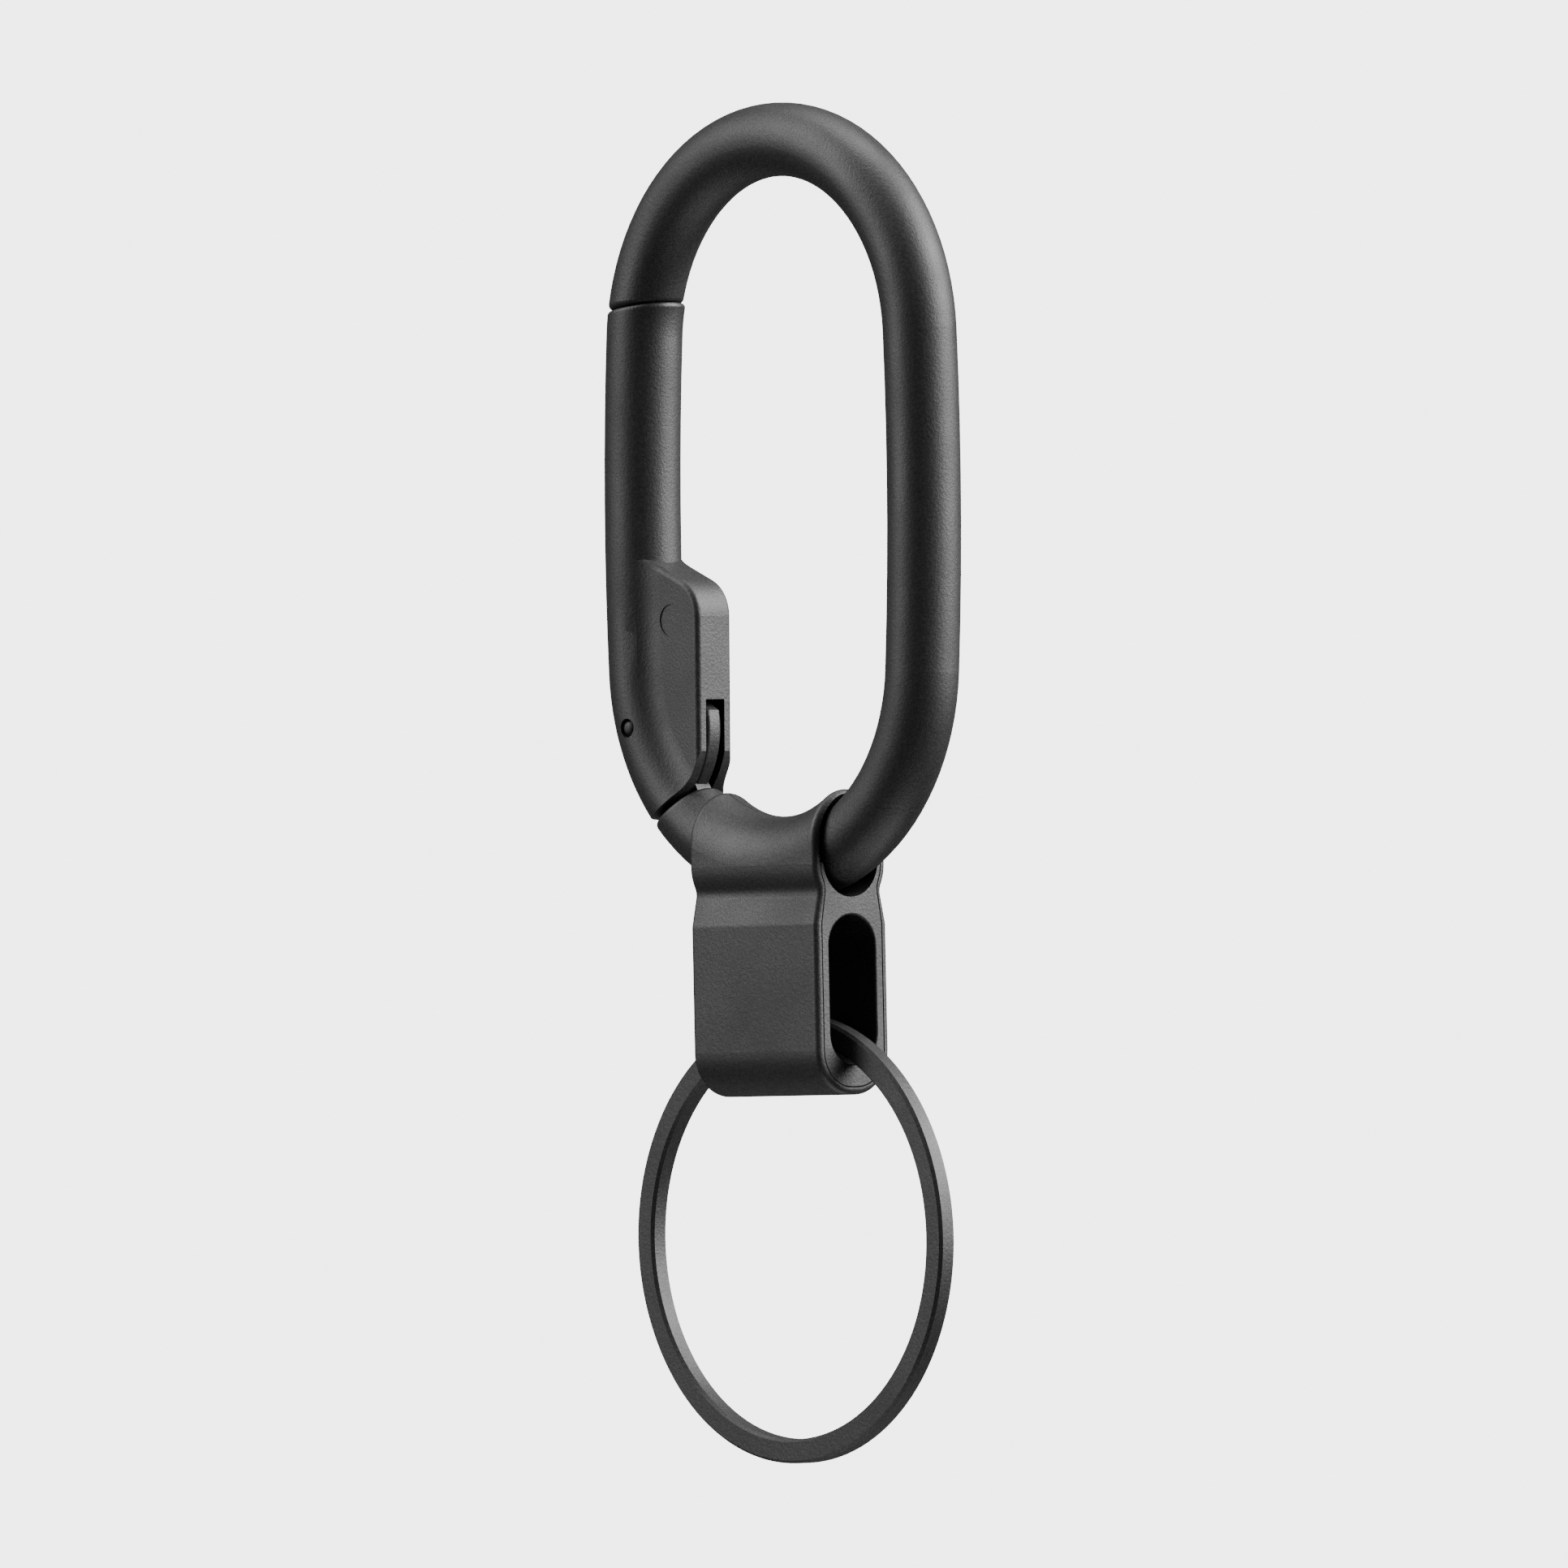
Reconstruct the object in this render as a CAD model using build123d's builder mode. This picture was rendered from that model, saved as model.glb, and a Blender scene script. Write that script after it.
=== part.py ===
from build123d import *
from math import asin, atan2, cos, degrees, radians, sin, sqrt, tan
import os

# Pocket carabiner with a key saddle and a key ring, in millimetres.
# Origin: the inside of the loop's top, where it hangs. X runs across the loop,
# Y from the front to the back, Z up. The gate is on the -X side.

# ---- driving dimensions ----
bar_d = 5.0            # round bar that the loop's fixed part is made of
gate_extra = 0.2       # the gate's bar is this much thicker
gate_inset = 0.13      # the gate's centreline and pivot are inside the loop's
end_r = 13.82          # centreline radius of the loop's two round ends
end_gap = 21.44        # distance between the centres of the two ends
half_width = 14.11     # centreline half width at the loop's middle

nose_angle = 78.8      # where the gate meets the nose, from the loop's top
nose_tilt = 8.5        # the joint rises this much towards the inside
nose_gap = 0.05
nose_round = 0.4
nose_margin = 10.0     # degrees of bar past the joint, before it is cut
gate_round = 0.25      # edge of the gate at the joint

pivot_angle = 19.1     # the gate's pivot, below the lower end's centre
gate_open = 25.0       # full opening of the gate, degrees
heel_r = 6.3           # round lower end of the gate, about the pivot
heel_gap = 0.35        # gap between the gate's heel and the body's socket
heel_round = 0.35

tab_t = 3.2            # thumb tab on the inside of the gate
tab_reach = 6.1        # from the pivot to the tab's inner edge
tab_rise = 11.9        # the tab's sloping top, measured over the pivot
tab_slope = 22.6
tab_corner_r = 2.7
tab_blend_r = 3.2      # hollow blend between the bar and the tab's faces
tab_round = 0.4
badge_d = 2.2          # plain round dimple on the tab's front
badge_depth = 0.08
badge_x, badge_z = 3.45, 7.3

tongue_t = 1.3         # the body's tongue, inside the gate's slot
tongue_gap = 0.2       # clearance around the tongue
tongue_shift = 0.12    # the tongue sits this much nearer the front
tongue_r = 6.2
tongue_tip = 0.7       # short flat between the cam and the rim
tongue_edge_r = 0.3
root_angle = 20.0      # the tongue's root, on the side of its rim
root_turn = 5.0        # the root widens by this towards the body
root_sink = 2.0        # how far the root reaches into the body
cam_steps = 5          # spans of the cam's curve
eye_r = 1.7            # boss around the pin
pin_d = 1.2
pin_play = 0.03        # running clearance of the gate on its pin
pin_recess = 0.04
pin_dome = 0.5
pin_mouth_d = 1.3
pin_mouth_depth = 0.22

lever = 3.6            # from the pivot to the plunger's axis
lever_height = 2.2     # where the plunger rests on the tongue
plunger_d = 1.5
plunger_len = 3.6
plunger_play = 0.04
spring_len = 3.2       # room for the spring with the gate shut
spring_d = 1.3
spring_wire_d = 0.22
spring_turns = 6

saddle_w = 12.6        # key saddle that slides on the loop's lower end
saddle_lean = 1.1      # degrees it rests away from the loop's lowest point
shell_t = 0.5          # sheet wrapped around the saddle's core
bore_play = 0.2        # core to bar, radial
collar_play = 0.3      # shell to bar, radial
mouth_rise = 0.24      # straight bore that opens out the two mouths
core_drop = 1.3        # the core ends this far below the bar's middle
web = 0.76             # between the bore and the ring slot
slot_w = 4.2
slot_h = 10.1
slot_wall = 1.2
slot_floor = 2.05
slot_lip = 0.15        # rounded edge of the slot's mouths
waist_angle = 32.0     # the sheet follows the bar this far below its middle
waist_r = 1.0          # inside bend of the waist, where the sheet turns out again
ridge_drop = 0.6       # crease below the top of the slot
crease_r = 0.8         # soft bend at the crease
saddle_bottom_r = 3.0
saddle_round = 0.42
seam = 0.1             # small bevel that shows the joint of shell and core
butt_gap = 0.06        # the shell's ends meet on top of the collar

ring_d = 30.4
ring_w = 1.65
ring_t = 1.38
ring_bevel = 0.2
ring_hang = 0.2        # gap between the ring and the slot's floor
lap_len = 3.0          # half lap where the ring's ends meet
lap_gap = 0.08

# ---- worked out from them ----
bar_r = bar_d / 2
gate_r = (bar_d + gate_extra) / 2
end_z = end_gap / 2
half_height = end_z + end_r
loop_z = bar_r - half_height
side_r = (half_width**2 + end_z**2 - end_r**2) / (2 * (half_width - end_r))
side_angle = degrees(atan2(end_z, side_r - half_width))

gate_end_r = end_r - gate_inset
gate_side_r = side_r - gate_inset
pivot_x = -gate_end_r * cos(radians(pivot_angle))
pivot_z = -end_z - gate_end_r * sin(radians(pivot_angle))
socket_r = heel_r + heel_gap
socket_turn = degrees(2 * asin(socket_r / (2 * end_r)))
socket_angle = pivot_angle + socket_turn
socket_x = -end_r * cos(radians(socket_angle))
socket_z = -end_z - end_r * sin(radians(socket_angle))
neck_dir = degrees(atan2(socket_z - pivot_z, socket_x - pivot_x))

travel = lever * radians(gate_open)
recess_half_t = tongue_t / 2 + tongue_gap
recess_r = tongue_r + tongue_gap
recess_eye_r = eye_r + tongue_gap
recess_top = lever_height + travel + tongue_gap
plunger_top = lever_height + plunger_len
bore_end = plunger_top + spring_len

# Planes: the loop's own plane, centred on the loop or on the pivot, and the
# saddle's, across the bar where the saddle rests. Local x, y are X, Z or Y, Z.
loop_plane = Plane(origin=(0, 0, loop_z), x_dir=(1, 0, 0), z_dir=(0, -1, 0))
pivot_plane = Plane(origin=(pivot_x, 0, loop_z + pivot_z), x_dir=(1, 0, 0), z_dir=(0, -1, 0))
lean_s, lean_c = sin(radians(saddle_lean)), cos(radians(saddle_lean))
low_centre = (0, 0, loop_z - end_z)
saddle_at = (end_r * lean_s, 0, low_centre[2] - end_r * lean_c)
saddle_plane = Plane(origin=saddle_at, x_dir=(0, 1, 0), z_dir=(lean_c, 0, lean_s))
saddle_across = Axis(saddle_at, (lean_c, 0, lean_s))

os.makedirs("parts", exist_ok=True)


def polar(radius, angle):
    return (radius * cos(radians(angle)), radius * sin(radians(angle)))


def save(piece, name):
    piece.part.label = name
    export_step(piece.part, f"parts/{name}.step")


def joint_plane(gap):
    # The plane of the joint between nose and gate, the given gap below the nose.
    at = polar(end_r, 90 + nose_angle)
    up = (-sin(radians(nose_tilt)), 0, cos(radians(nose_tilt)))
    middle = Vector(at[0], 0, loop_z + end_z + at[1]) - Vector(*up) * gap
    return Plane(origin=middle, x_dir=(0, 1, 0), z_dir=up)


def tongue_top(turn):
    # The tongue's cam: an involute of a circle of radius lever, so that the flat
    # plunger rises in proportion to the gate's turn.
    t = radians(turn)
    reach = lever_height + lever * t
    return (lever * cos(t) + reach * sin(t), -lever * sin(t) + reach * cos(t))


# ---- body: the fixed part of the loop, with its socket and tongue ----
with BuildPart() as tongue:
    with BuildSketch(pivot_plane.offset(tongue_shift)):
        with BuildLine():
            cam = [tongue_top(gate_open * k / cam_steps) for k in range(cam_steps + 1)]
            foot = polar(tongue_r + root_sink, neck_dir)
            heel = polar(eye_r, neck_dir - 90)
            rim_end = polar(tongue_r, neck_dir + root_angle)
            rim_start = polar(tongue_r, degrees(asin((cam[-1][1] - tongue_tip) / tongue_r)))
            Polyline(polar(eye_r, 90), cam[0])
            Spline(cam)
            Line(cam[-1], rim_start)
            ThreePointArc(rim_start, polar(tongue_r, 0), rim_end)
            foot_out = (heel[0] + foot[0], heel[1] + foot[1])
            foot_in = polar(tongue_r + root_sink, neck_dir + root_angle - root_turn)
            Polyline(rim_end, foot_in, foot_out, heel, polar(eye_r, 90))
        make_face()
        Circle(eye_r)
    extrude(amount=tongue_t / 2, both=True)
    rim = tongue.edges().filter_by(Axis.Y, reverse=True)
    rim = rim.filter_by_position(Axis.X, pivot_x + lever, pivot_x + tongue_r + tongue_gap)
    rim = rim.filter_by_position(Axis.Z, loop_z + pivot_z - eye_r, loop_z + pivot_z + recess_top)
    fillet(rim, tongue_edge_r)

with BuildPart() as loop_body:
    with BuildLine(loop_plane) as body_path:
        top_start = 90 + nose_angle + nose_margin
        low_end = 180 - (socket_angle - nose_margin)
        CenterArc((0, end_z), end_r, top_start, side_angle - top_start)
        CenterArc((half_width - side_r, 0), side_r, side_angle, -2 * side_angle)
        CenterArc((0, -end_z), end_r, -side_angle, side_angle - low_end)
    with BuildSketch(Plane(origin=body_path.line @ 0, z_dir=body_path.line % 0)):
        Circle(bar_r)
    sweep()
    with BuildSketch(joint_plane(0)):
        Rectangle(2 * bar_d, 2 * bar_d)
    extrude(amount=-bar_d, mode=Mode.SUBTRACT)
    nose_edges = loop_body.edges().filter_by_position(Axis.Z, loop_z, 0).sort_by(Axis.X)[0:1]
    fillet(nose_edges, nose_round)
    with BuildSketch(pivot_plane):
        Circle(socket_r)
    extrude(amount=bar_d, both=True, mode=Mode.SUBTRACT)
    socket_face = loop_body.faces().filter_by(GeomType.CYLINDER).sort_by(Axis.X)[0]
    fillet(socket_face.edges(), heel_round)
    add(tongue.part)
    with Locations(pivot_plane):
        Hole(pin_d / 2)
save(loop_body, "loop_body")

# ---- gate: bar, thumb tab, slot for the tongue, bore for the plunger ----
with BuildPart() as tab:
    with BuildLine(loop_plane) as tab_path:
        CenterArc((side_r - half_width, 0), gate_side_r, 180, side_angle)
        CenterArc((0, -end_z), gate_end_r, 180 + side_angle, socket_angle)
    with BuildSketch(Plane(origin=tab_path.line @ 0, x_dir=(1, 0, 0), z_dir=tab_path.line % 0)):
        Circle(gate_r)
        Rectangle(2 * tab_reach, tab_t, align=(Align.MIN, Align.CENTER))
        fillet(vertices().sort_by(Axis.X)[0:2], tab_blend_r)
        blend_start = gate_r * cos(asin((tab_t / 2 + tab_blend_r) / (gate_r + tab_blend_r)))
        with Locations((blend_start, 0)):
            Rectangle(2 * tab_reach, 2 * bar_d, align=(Align.MIN, Align.CENTER), mode=Mode.INTERSECT)
    sweep()
    with BuildSketch(pivot_plane):
        fall = tan(radians(tab_slope))
        with BuildLine():
            root = (-gate_r / 2, tab_rise + fall * gate_r / 2)
            shoulder = (tab_reach, tab_rise - fall * tab_reach)
            Polyline(root, shoulder, (tab_reach, -heel_r), (-gate_r / 2, -heel_r), root)
        make_face()
        fillet(vertices().sort_by(Axis.X)[-2:].sort_by(Axis.Y)[-1], tab_corner_r)
    extrude(amount=bar_d, both=True, mode=Mode.INTERSECT)
    rim = tab.faces().filter_by(lambda f: f.center().X > pivot_x + bar_d and abs(f.normal_at().Y) < 0.1)
    rim = [e for f in rim for e in f.edges() if abs(abs(e.center().Y) - tab_t / 2) < 0.01]
    fillet(rim, tab_round)

with BuildPart() as gate:
    with BuildLine(loop_plane) as gate_path:
        gate_start = 90 + nose_angle - nose_margin
        CenterArc((0, end_z), gate_end_r, gate_start, 180 - side_angle - gate_start)
        CenterArc((side_r - half_width, 0), gate_side_r, 180 - side_angle, 2 * side_angle)
        CenterArc((0, -end_z), gate_end_r, 180 + side_angle, socket_angle + nose_margin - side_angle)
    with BuildSketch(Plane(origin=gate_path.line @ 0, z_dir=gate_path.line % 0)):
        Circle(gate_r)
    sweep()
    with BuildSketch(joint_plane(nose_gap)):
        Rectangle(2 * bar_d, 2 * bar_d)
    extrude(amount=bar_d, mode=Mode.SUBTRACT)
    fillet(gate.edges().group_by(Axis.Z)[-1], gate_round)
    add(tab.part)
    with BuildSketch(pivot_plane):
        Rectangle(6 * bar_d, 3 * bar_d, align=(Align.CENTER, Align.MAX))
        Circle(heel_r, mode=Mode.SUBTRACT)
    extrude(amount=bar_d, both=True, mode=Mode.SUBTRACT)
    with BuildSketch(pivot_plane):
        with BuildLine():
            top_left = polar(recess_eye_r, 90 + gate_open)
            top_mid = (lever - plunger_d, recess_top)
            top_end = polar(recess_r, degrees(asin(recess_top / recess_r)))
            low_left = polar(recess_eye_r, neck_dir - 90)
            low_end_angle = neck_dir - degrees(asin(recess_eye_r / recess_r))
            low_end_point = polar(recess_r, low_end_angle)
            ThreePointArc(top_end, polar(recess_r, 0), low_end_point)
            Polyline(low_end_point, low_left, top_left, top_mid, top_end)
        make_face()
        Circle(recess_eye_r)
    extrude(amount=recess_half_t, both=True, mode=Mode.SUBTRACT)
    with BuildSketch(pivot_plane):
        Circle(pin_d / 2 + pin_play)
    extrude(amount=bar_d, both=True, mode=Mode.SUBTRACT)
    for side in (-1, 1):
        mouth = Plane(pivot_plane.origin + Vector(0, side * gate_r, 0), z_dir=(0, side, 0))
        with BuildSketch(mouth.offset(-pin_mouth_depth)):
            Circle(pin_mouth_d / 2)
        extrude(amount=gate_r, mode=Mode.SUBTRACT)
    with BuildSketch(Plane(pivot_plane.origin + Vector(lever, 0, 0)).offset(recess_top - plunger_d / 2)):
        Circle(plunger_d / 2 + plunger_play)
    extrude(amount=bore_end - recess_top + plunger_d / 2, mode=Mode.SUBTRACT)
    badge_at = pivot_plane.origin + Vector(badge_x, -tab_t / 2, badge_z)
    with BuildSketch(Plane(badge_at, z_dir=(0, -1, 0)).offset(-badge_depth)):
        Circle(badge_d / 2)
    extrude(amount=gate_r, mode=Mode.SUBTRACT)
save(gate, "gate")

# ---- pivot pin: pressed into the tongue, the gate turns on it ----
with BuildPart() as pivot_pin:
    with BuildSketch(pivot_plane):
        Circle(pin_d / 2)
    extrude(amount=gate_r - pin_recess, both=True)
    fillet(pivot_pin.edges().filter_by(GeomType.CIRCLE), pin_dome)
save(pivot_pin, "pivot_pin")

# ---- plunger and spring that close the gate ----
plunger_plane = Plane(pivot_plane.origin + Vector(lever, 0, lever_height))
with BuildPart() as spring_plunger:
    with BuildSketch(plunger_plane):
        Circle(plunger_d / 2)
    extrude(amount=plunger_len)
    chamfer(spring_plunger.edges().group_by(Axis.Z)[-1], plunger_play)
save(spring_plunger, "spring_plunger")

with BuildPart() as gate_spring:
    coil_r = (spring_d - spring_wire_d) / 2
    rise = spring_len - spring_wire_d - 2 * plunger_play
    spring_plane = plunger_plane.offset(plunger_len + spring_wire_d / 2 + plunger_play)
    with BuildLine(spring_plane) as coil:
        Helix(rise / spring_turns, rise, coil_r)
    with BuildSketch(Plane(origin=coil.line @ 0, z_dir=coil.line % 0)):
        Circle(spring_wire_d / 2)
    sweep()
save(gate_spring, "gate_spring")

# ---- saddle: a core with the bar's bore and the ring's slot, in a folded shell ----
bore_r = bar_r + bore_play
collar_in_r = bar_r + collar_play
collar_r = collar_in_r + shell_t
slot_top = -bore_r - web
slot_low = slot_top - slot_h
depth = slot_w + 2 * slot_wall
half_w = saddle_w / 2
arc_rise = end_r - sqrt(end_r**2 - half_w**2)
ridge_z = slot_top - ridge_drop
saddle_low = slot_low - slot_floor


def curved_bar(radius):
    # A full turn of round bar that follows the loop's lower end.
    with BuildPart() as turned:
        with BuildSketch(saddle_plane):
            Circle(radius)
        revolve(axis=Axis(low_centre, (0, 1, 0)))
    return turned.part


def straight_bar(radius, rise, length):
    with BuildPart() as rod:
        with BuildSketch(saddle_plane):
            with Locations((0, rise)):
                Circle(radius)
        extrude(amount=length / 2, both=True)
    return rod.part


def arc_disc(radius):
    # Everything within a radius of the lower end's centre, across the saddle's depth.
    with BuildPart() as disc:
        with BuildSketch(Plane(low_centre, x_dir=(1, 0, 0), z_dir=(0, -1, 0))):
            Circle(radius)
        extrude(amount=depth, both=True)
    return disc.part


def saddle_block(inset):
    # The saddle's outline in Y and Z, set in by a wall: down beside the bar, round under
    # it to the waist, out to the crease, and down to the bottom.
    neck = collar_r - inset
    half = depth / 2 - inset
    low = saddle_low + inset
    corner = saddle_bottom_r - inset
    with BuildPart() as block:
        with BuildSketch(saddle_plane):
            with BuildLine():
                Polyline((0, 2 * arc_rise), (neck, 2 * arc_rise), (neck, 0))
                hug = CenterArc((0, 0), neck, 0, -waist_angle)
                side = Polyline(hug @ 1, (half, ridge_z), (half, low + corner))
                turn = TangentArc(side @ 1, (half - corner, low), tangent=(0, -1))
                Polyline(turn @ 1, (0, low), (0, 2 * arc_rise))
            make_face()
            waist = vertices().sort_by_distance(hug @ 1)[0]
            fillet(waist, waist_r + inset)
            crease = vertices().sort_by_distance((half, ridge_z))[0]
            fillet(crease, crease_r)
            mirror(about=Plane.YZ)
        extrude(amount=half_w, both=True)
    return block.part


def wrap(inset):
    # The block below the arc and the upper half of the collar, set in by a wall.
    with BuildPart() as below:
        add(saddle_block(inset))
        add(arc_disc(end_r), mode=Mode.SUBTRACT)
    with BuildPart() as wrapped:
        add(curved_bar(collar_r - inset))
        add(arc_disc(end_r), mode=Mode.INTERSECT)
        with BuildSketch(saddle_plane):
            Rectangle(2 * depth, 2 * collar_r, align=(Align.CENTER, Align.MIN))
        extrude(amount=half_w, both=True, mode=Mode.INTERSECT)
        add(below.part)
    return wrapped.part


bar_hole = curved_bar(bore_r)
mouth_hole = straight_bar(bar_r, mouth_rise, saddle_w)

with BuildPart() as saddle_shell:
    add(wrap(0))
    rims = saddle_shell.edges().group_by(saddle_across)
    fillet(rims[0] + rims[-1], saddle_round)
    add(wrap(shell_t), mode=Mode.SUBTRACT)
    add(mouth_hole, mode=Mode.SUBTRACT)
    with BuildSketch(saddle_plane):
        Rectangle(butt_gap, 2 * collar_r, align=(Align.CENTER, Align.MIN))
    extrude(amount=half_w, both=True, mode=Mode.SUBTRACT)
save(saddle_shell, "saddle_shell")

with BuildPart() as saddle_core:
    add(saddle_block(shell_t))
    outline = saddle_core.edges().group_by(saddle_across)
    chamfer((outline[0] + outline[-1]).sort_by(Axis.Z)[:-2], seam)
    add(arc_disc(end_r + core_drop), mode=Mode.SUBTRACT)
    add(bar_hole, mode=Mode.SUBTRACT)
    add(mouth_hole, mode=Mode.SUBTRACT)
    with BuildSketch(saddle_plane):
        with Locations((0, (slot_top + slot_low) / 2)):
            SlotOverall(slot_h, slot_w, rotation=90)
    extrude(amount=half_w, both=True, mode=Mode.SUBTRACT)
    mouths = saddle_core.faces().sort_by(saddle_across)
    mouths = [mouths[0], mouths[-1]]
    fillet([edge for face in mouths for wire in face.inner_wires() for edge in wire.edges()], slot_lip)
save(saddle_core, "saddle_core")

# ---- key ring: a plain ring with a half lap where its ends meet ----
ring_r = ring_d / 2
ring_in_r = ring_r - ring_w
slot_end_r = slot_w / 2
floor_rise = slot_end_r - sqrt(slot_end_r**2 - (ring_t / 2)**2)
ring_rest = slot_low + floor_rise + ring_hang
ring_drop = ring_rest - sqrt(ring_in_r**2 - half_w**2)
ring_at = saddle_plane.from_local_coords((0, ring_drop, 0))
with BuildPart() as key_ring:
    with BuildSketch(Plane(ring_at, x_dir=(0, 1, 0), z_dir=saddle_plane.z_dir)):
        with Locations((0, ring_r - ring_w / 2)):
            Rectangle(ring_t, ring_w)
        chamfer(vertices(), ring_bevel)
    revolve(axis=Axis(ring_at, (0, 1, 0)))
    lap_at = ring_at + saddle_plane.y_dir * (ring_in_r - ring_w)
    with BuildSketch(Plane(lap_at, x_dir=saddle_plane.z_dir, z_dir=saddle_plane.y_dir)):
        Rectangle(lap_len, lap_gap)
        with Locations((-lap_len / 2, 0)):
            Rectangle(lap_gap, ring_t, align=(Align.CENTER, Align.MIN))
        with Locations((lap_len / 2, 0)):
            Rectangle(lap_gap, ring_t, align=(Align.CENTER, Align.MAX))
    extrude(amount=3 * ring_w, mode=Mode.SUBTRACT)
save(key_ring, "key_ring")
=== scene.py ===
import bpy
import numpy as np
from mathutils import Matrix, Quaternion, Vector


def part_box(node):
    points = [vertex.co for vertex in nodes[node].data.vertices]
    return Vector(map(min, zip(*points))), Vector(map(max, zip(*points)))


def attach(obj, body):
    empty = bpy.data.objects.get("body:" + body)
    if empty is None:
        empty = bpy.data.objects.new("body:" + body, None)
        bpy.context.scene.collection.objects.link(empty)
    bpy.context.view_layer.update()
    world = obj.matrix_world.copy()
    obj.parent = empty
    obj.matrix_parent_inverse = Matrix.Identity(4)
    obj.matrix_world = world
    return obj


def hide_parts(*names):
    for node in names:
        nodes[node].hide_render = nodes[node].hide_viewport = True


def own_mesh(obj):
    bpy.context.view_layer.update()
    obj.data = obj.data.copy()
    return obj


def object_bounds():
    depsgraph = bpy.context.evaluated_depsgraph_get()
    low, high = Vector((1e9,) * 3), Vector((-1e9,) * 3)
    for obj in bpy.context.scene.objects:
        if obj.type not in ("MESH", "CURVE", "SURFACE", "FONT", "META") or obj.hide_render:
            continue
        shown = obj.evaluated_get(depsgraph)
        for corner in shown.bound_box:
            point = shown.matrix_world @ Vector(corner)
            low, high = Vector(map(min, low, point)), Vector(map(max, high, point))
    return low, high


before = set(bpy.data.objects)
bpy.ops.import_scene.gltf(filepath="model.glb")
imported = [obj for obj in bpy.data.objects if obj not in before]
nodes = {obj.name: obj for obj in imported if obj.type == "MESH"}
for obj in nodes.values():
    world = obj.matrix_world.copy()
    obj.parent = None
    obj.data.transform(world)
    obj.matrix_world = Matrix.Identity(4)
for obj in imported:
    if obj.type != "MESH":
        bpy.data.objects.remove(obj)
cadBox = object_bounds()
print("frame loaded:", ", ".join(sorted(nodes)))


def plug(tree, socket, value):
    # a plain value is set on the socket, a node's output is linked to it
    if isinstance(value, Sock):
        tree.links.new(value.out, socket)
    else:
        socket.default_value = value


class Sock:
    # a node's output, so that shader maths reads as plain arithmetic
    def __init__(self, tree, out):
        self.tree, self.out = tree, out

    def math(self, kind, first, second):
        node = self.tree.nodes.new("ShaderNodeMath")
        node.operation = kind
        for place, value in enumerate((first, second)):
            plug(self.tree, node.inputs[place], value)
        return Sock(self.tree, node.outputs[0])

    def __add__(self, other):
        return self.math("ADD", self, other)

    def __mul__(self, other):
        return self.math("MULTIPLY", self, other)

    def __sub__(self, other):
        return self.math("SUBTRACT", self, other)

    def __rsub__(self, other):
        return self.math("SUBTRACT", other, self)

    __radd__ = __add__
    __rmul__ = __mul__


class Graph:
    # the nodes of one material or world
    def __init__(self, owner):
        owner.use_nodes = True
        self.tree = owner.node_tree

    def node(self, kind, settings, sockets, output=0):
        # settings go in first, then the values or links of the sockets
        made = self.tree.nodes.new(kind)
        for name, value in settings.items():
            setattr(made, name, value)
        for name, value in sockets.items():
            plug(self.tree, made.inputs[name], value)
        return Sock(self.tree, made.outputs[output]) if made.outputs else made


class Surface(Graph):
    # one material under construction
    def __init__(self, name):
        self.mat = bpy.data.materials.new(name)
        super().__init__(self.mat)
        self.shader = self.tree.nodes["Principled BSDF"]
        self.place = self.node("ShaderNodeTexCoord", {}, {}, "Object")

    def noise(self, size, detail=2.0, at=None):
        # size is the width of one blotch in metres
        return self.node("ShaderNodeTexNoise", {},
                         {"Vector": at or self.place, "Scale": 1.0 / size, "Detail": detail})

    def stretch(self, value, span, outLow=0.0, outHigh=1.0):
        # the span's two ends become outLow and outHigh
        return self.node("ShaderNodeMapRange", {"clamp": True},
                         {"Value": value, "From Min": span[0], "From Max": span[1],
                          "To Min": outLow, "To Max": outHigh})

    def blend(self, amount, first, second):
        # a Mix node set to colours takes them at inputs 6 and 7 and gives one at output 2
        return self.node("ShaderNodeMix", {"data_type": "RGBA"},
                         {"Factor": amount, 6: (*first, 1.0), 7: (*second, 1.0)}, 2)

    def feed(self, name, value):
        plug(self.tree, self.shader.inputs[name], value)

    def gloss(self, value, look):
        # the higher the value, the smoother, by half the spread each way
        half = look["roughSpread"] / 2
        self.feed("Roughness", self.stretch(value, look["glossSpan"],
                                            look["roughness"] + half, look["roughness"] - half))

    def bump(self, height, distance):
        self.feed("Normal", self.node("ShaderNodeBump", {}, {"Height": height, "Distance": distance}))


noiseMiddle = 0.5           # noise runs from 0 to 1 round this value

coating = {
    "deep": (0.003, 0.003, 0.0032),     # colour in the hollows of the grain
    "raised": (0.017, 0.0171, 0.0175),  # colour on its tops
    "roughness": 0.50,
    "roughSpread": 0.16,
    "grain": 0.00020,
    "fineGrain": 0.00008,
    "cloud": 0.006,
    "grainDetail": 3.0,
    "fineDetail": 1.0,
    "coarseShare": 0.65,    # of the two grains in colour and height
    "fineShare": 0.35,
    "cloudInTone": 0.25,
    "fineInGloss": 0.5,
    "cloudInGloss": 0.5,
    "toneSpan": (0.36, 0.64),
    "glossSpan": (0.35, 0.65),
    "grainHeight": 0.00003,
}


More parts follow.
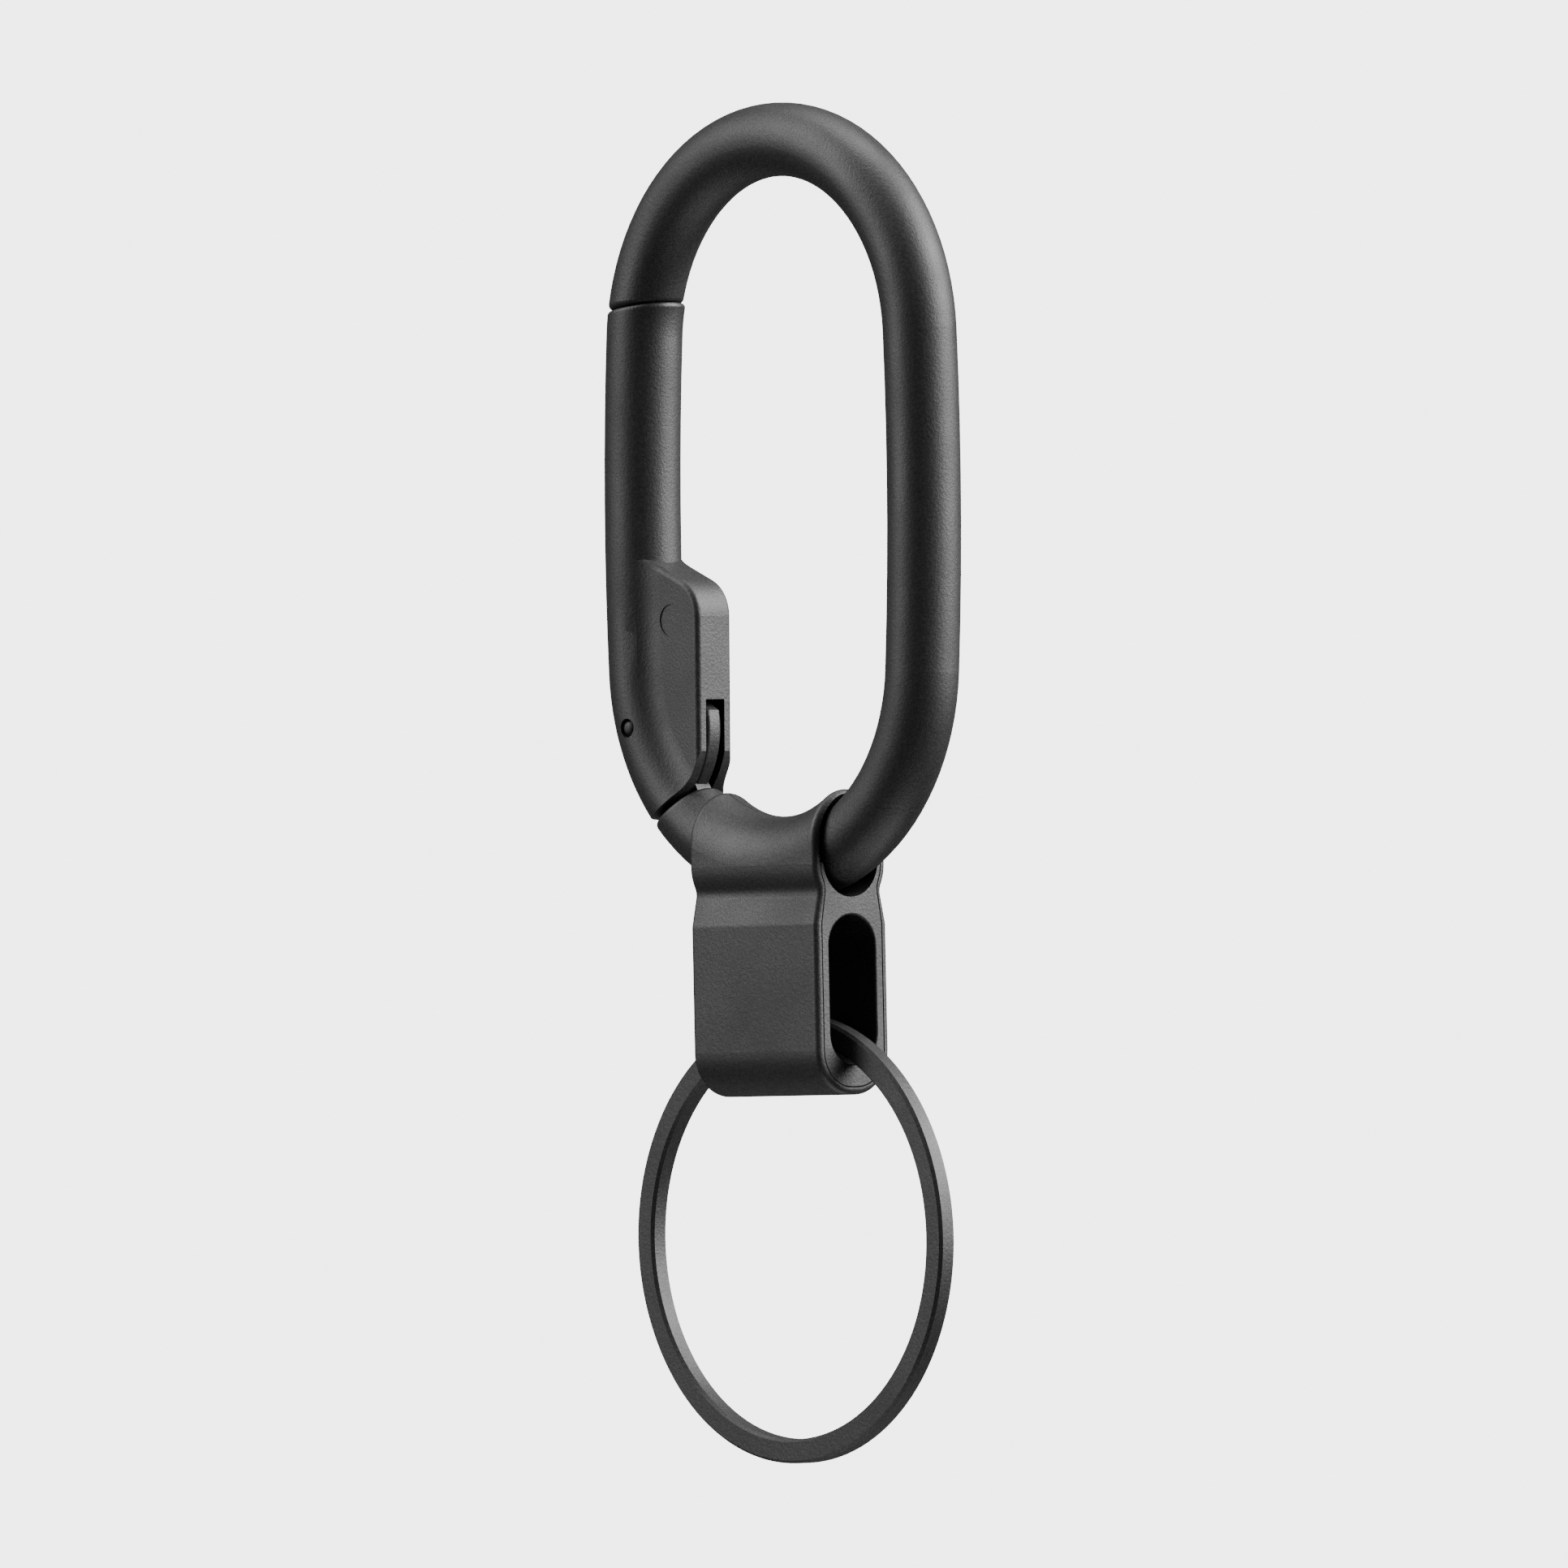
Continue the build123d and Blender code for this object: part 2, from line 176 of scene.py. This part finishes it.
def blastedCoating(name, look):
    # black coating over a blasted surface: two sizes of grain give its colour and its low bump,
    # and slow clouds shift its tone and its gloss
    s = Surface(name)
    coarse = s.noise(look["grain"], look["grainDetail"])
    fine = s.noise(look["fineGrain"], look["fineDetail"])
    cloud = s.noise(look["cloud"])
    grain = coarse * look["coarseShare"] + fine * look["fineShare"]
    tone = s.stretch(grain + (cloud - noiseMiddle) * look["cloudInTone"], look["toneSpan"])
    s.feed("Base Color", s.blend(tone, look["deep"], look["raised"]))
    s.gloss(fine * look["fineInGloss"] + cloud * look["cloudInGloss"], look)
    s.feed("Metallic", 0.0)
    s.bump(grain, look["grainHeight"])
    return s.mat


steel = {
    "dark": (0.30, 0.30, 0.31),
    "light": (0.46, 0.46, 0.47),
    "roughness": 0.32,
    "roughSpread": 0.16,
    "lineWidth": 0.00008,
    "squeeze": (0.05, 0.05, 1.0),   # draws the blotches out sideways into lines
    "toneSpan": (0.35, 0.65),
    "glossSpan": (0.3, 0.7),
    "lineHeight": 0.000002,
}


def turnedSteel(name, look):
    # bare steel with the fine rings that turning leaves, one above the other along Z
    s = Surface(name)
    squeezed = s.node("ShaderNodeMapping", {}, {"Vector": s.place, "Scale": look["squeeze"]})
    lines = s.noise(look["lineWidth"], at=squeezed)
    s.feed("Base Color", s.blend(s.stretch(lines, look["toneSpan"]), look["dark"], look["light"]))
    s.gloss(lines, look)
    s.feed("Metallic", 1.0)
    s.bump(lines, look["lineHeight"])
    return s.mat


finishes = {
    "loop_body": blastedCoating("loopCoating", coating),
    "gate": blastedCoating("gateCoating", coating),
    "saddle_shell": blastedCoating("saddleCoating", coating),
    "saddle_core": blastedCoating("coreCoating", coating),
    "key_ring": blastedCoating("ringCoating", coating),
    "pivot_pin": blastedCoating("pinCoating", coating),
    "spring_plunger": turnedSteel("plungerSteel", steel),
    "gate_spring": turnedSteel("springSteel", steel),
}
for name, mat in finishes.items():
    for slot in nodes[name].material_slots:
        slot.material = mat
print("materials on", len(finishes), "pieces")


def joinRings(index):
    # four-sided faces between each ring of points and the next, closed round the ring
    after = np.roll(index, -1, axis=1)
    return np.stack([index[:-1], index[1:], after[1:], after[:-1]], axis=-1).reshape(-1, 4)


def addMesh(name, points, faces, mat):
    mesh = bpy.data.meshes.new(name)
    mesh.from_pydata(points.tolist(), [], faces)
    mesh.materials.append(mat)
    piece = bpy.data.objects.new(name, mesh)
    bpy.context.collection.objects.link(piece)
    return piece


coil = {
    "turns": 6,
    "wire": 0.00022,    # wire thickness
    "steps": 40,        # rings of points in one turn
    "sides": 10,        # points in one ring
}


def windCoil(look):
    # a helix of round wire: the centre runs round a circle of the coil's radius while it climbs
    # evenly, and each ring of points lies round it, square to the helix's own direction
    low, high = (np.array(corner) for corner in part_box("gate_spring"))
    middle = (low + high) / 2
    wire = look["wire"] / 2
    radius = (high[0] - low[0]) / 2 - wire
    climb = high[2] - low[2] - 2 * wire
    turn = np.linspace(0, 2 * np.pi * look["turns"], look["turns"] * look["steps"] + 1)
    across = np.linspace(0, 2 * np.pi, look["sides"], endpoint=False)
    outward = np.stack([np.cos(turn), np.sin(turn), np.zeros_like(turn)], axis=-1)
    centre = middle + outward * radius
    centre[:, 2] = low[2] + wire + climb * turn / turn[-1]
    slope = np.arctan2(climb, radius * turn[-1])
    upward = np.stack([np.sin(turn) * np.sin(slope), -np.cos(turn) * np.sin(slope),
                       np.full_like(turn, np.cos(slope))], axis=-1)
    rings = (centre[:, None] + wire * (np.cos(across)[None, :, None] * outward[:, None]
                                       + np.sin(across)[None, :, None] * upward[:, None]))
    index = np.arange(rings[..., 0].size).reshape(rings.shape[:2])
    quads = joinRings(index)
    ends = [index[0].tolist(), index[-1, ::-1].tolist()]
    spring = addMesh("coiledSpring", rings.reshape(-1, 3), quads.tolist() + ends, finishes["gate_spring"])
    spring.data.polygons.foreach_set("use_smooth", np.arange(len(quads) + len(ends)) < len(quads))
    return spring, (float(middle[0]), float(middle[1]), float(high[2])), float(high[2] - low[2])


spring, springTop, springLength = windCoil(coil)
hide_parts("gate_spring")
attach(spring, "gate")
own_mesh(spring)
print("spring wound")


view = {
    "azimuth": 47.38,       # degrees round from the front, towards +X
    "elevation": -0.53,
    "roll": -0.44,
    "distance": 1.6288,     # from the loop's middle
    "lens": 553.1,
    "sensor": 36.0,
    "clip": (0.01, 50.0),
    "aim": (0.0, 0.0, -0.04109),
}
low, high = np.array(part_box("loop_body"))
loopMiddle = Vector((0.0, 0.0, float(low[2] + high[2]) / 2))


def placeCamera(look):
    # the camera stands on a sphere round the loop's middle and aims at the whole object
    az, el, roll = np.radians([look["azimuth"], look["elevation"], look["roll"]])
    back = Vector((np.sin(az) * np.cos(el), -np.cos(az) * np.cos(el), np.sin(el)))
    camera = bpy.data.objects.new("camera", bpy.data.cameras.new("camera"))
    bpy.context.collection.objects.link(camera)
    camera.location = loopMiddle + back * look["distance"]
    turn = (Vector(look["aim"]) - camera.location).to_track_quat("-Z", "Y")
    camera.rotation_mode = "QUATERNION"
    camera.rotation_quaternion = turn @ Quaternion((0.0, 0.0, 1.0), roll)
    camera.data.lens = look["lens"]
    camera.data.sensor_width = look["sensor"]
    camera.data.clip_start, camera.data.clip_end = look["clip"]
    bpy.context.scene.camera = camera


placeCamera(view)
print("camera placed")

studio = {
    "white": (1.0, 1.0, 1.0, 1.0),
    "background": 4.4,      # strength of the world that the camera sees
    "fill": 0.10,           # strength of the world that lights the object
    "lamps": {
        # degrees round from the camera, rise above the loop's middle, distance, width, height, power
        "rightBox": (86.0, 0.33, 0.60, 0.62, 0.70, 20.0),
        "leftBox": (-92.0, 0.42, 0.60, 0.50, 0.60, 5.5),
        "lowLeftBox": (-76.0, 0.02, 0.60, 0.36, 0.16, 1.0),
        "topBox": (180.0, 0.62, 0.10, 0.50, 0.40, 4.0),
    },
}


def addLamp(name, turn, rise, distance, width, height, power):
    # a soft box aimed at the loop, placed by its angle round from the camera's side
    angle = np.radians(view["azimuth"] + turn)
    spot = loopMiddle + Vector((np.sin(angle) * distance, -np.cos(angle) * distance, rise))
    lamp = bpy.data.objects.new(name, bpy.data.lights.new(name, "AREA"))
    bpy.context.collection.objects.link(lamp)
    lamp.data.shape = "RECTANGLE"
    lamp.data.size, lamp.data.size_y = width, height
    lamp.data.energy = power
    lamp.location = spot
    lamp.rotation_euler = (loopMiddle - spot).to_track_quat("-Z", "Y").to_euler()


for name, setup in studio["lamps"].items():
    addLamp(name, *setup)


def addWorld(look):
    # the camera sees a flat pale ground, and a dimmer one fills the object
    world = bpy.data.worlds.new("studio")
    bpy.context.scene.world = world
    g = Graph(world)
    g.tree.nodes.clear()
    cameraRay = g.node("ShaderNodeLightPath", {}, {}, "Is Camera Ray")
    fill, seen = (g.node("ShaderNodeBackground", {}, {"Color": look["white"], "Strength": look[name]})
                  for name in ("fill", "background"))
    mixed = g.node("ShaderNodeMixShader", {}, {0: cameraRay, 1: fill, 2: seen})
    g.node("ShaderNodeOutputWorld", {}, {"Surface": mixed})


addWorld(studio)

floor = {
    "drop": 0.30,           # below the object's lowest point
    "radius": 0.20,
    "rings": 8,
    "spokes": 96,
    "dull": (0.80, 0.80, 0.80),
    "pale": (0.83, 0.83, 0.83),
    "blotch": 0.05,
    "roughness": 0.9,
}


def addFloor(look):
    # a disc: ring k has radius R * k / rings, and its points are spread evenly round a full circle
    rings, spokes = look["rings"], look["spokes"]
    level = cadBox[0][2] - look["drop"]
    radius = np.linspace(0, look["radius"], rings + 1)[1:]
    angle = np.linspace(0, 2 * np.pi, spokes, endpoint=False)
    grid = np.stack([np.outer(radius, np.cos(angle)), np.outer(radius, np.sin(angle)),
                     np.full((rings, spokes), level)], axis=-1)
    points = np.vstack([[0, 0, level], grid.reshape(-1, 3)])
    index = 1 + np.arange(rings * spokes).reshape(rings, spokes)
    fan = np.stack([np.zeros(spokes, int), index[0], np.roll(index[0], -1)], axis=-1)
    s = Surface("paleFloor")
    s.feed("Base Color", s.blend(s.noise(look["blotch"]), look["dull"], look["pale"]))
    s.feed("Roughness", look["roughness"])
    addMesh("floor", points, fan.tolist() + joinRings(index).tolist(), s.mat)


addFloor(floor)
print("studio lit")
